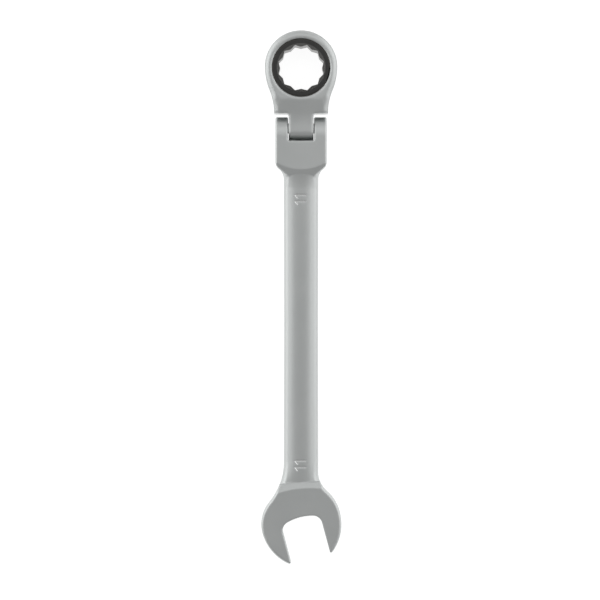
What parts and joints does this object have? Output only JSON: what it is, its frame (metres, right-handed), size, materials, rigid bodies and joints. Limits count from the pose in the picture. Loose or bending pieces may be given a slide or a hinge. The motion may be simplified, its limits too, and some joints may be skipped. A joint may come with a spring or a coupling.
{
  "type": "flex-head ratcheting combination wrench",
  "caption": "Slim steel wrench with a twelve-point ratcheting ring that tilts on a clevis hinge at one end and an angled open jaw at the other.",
  "frame": {"origin": "centre of the twelve-point ring, at the middle of its thickness", "axes": "+Z along the ring's drive axis, +Y from the open jaw to the ring, with the head straight"},
  "size_m": [0.022, 0.1459, 0.0078],
  "materials": {
    "satin_chrome": "satin chrome plate over a fine blasted forging",
    "black_steel": "black phosphate on hardened steel",
    "bare_steel": "ground steel pin",
    "spring_steel": "oiled spring wire"
  },
  "bodies": {
    "handle": {"handle": "satin_chrome", "hinge_pin": "bare_steel", "friction_plunger": "bare_steel", "friction_spring": "spring_steel"},
    "head": {"ratchet_head": "satin_chrome", "retaining_ring": "spring_steel", "pawl_spring": "spring_steel"},
    "gear": {"drive_gear": "black_steel"},
    "pawl": {"pawl": "black_steel"}
  },
  "joints": [
    {"name": "head_flex", "type": "hinge", "parent": "handle", "child": "head", "pos_m": [0, -0.0164, 0], "axis": [1, 0, 0], "range_deg": [-90, 90]},
    {"name": "gear_spin", "type": "hinge", "parent": "head", "child": "gear", "pos_m": [0, 0, 0], "axis": [0, 0, 1], "continuous": true},
    {"name": "pawl_slide", "type": "slide", "parent": "head", "child": "pawl", "axis": [-0.2588, -0.9659, 0], "range_m": [0, 0.0005], "stiffness_N_per_m": 600, "springref_m": -0.0012, "deforming": ["pawl_spring"]}
  ]
}
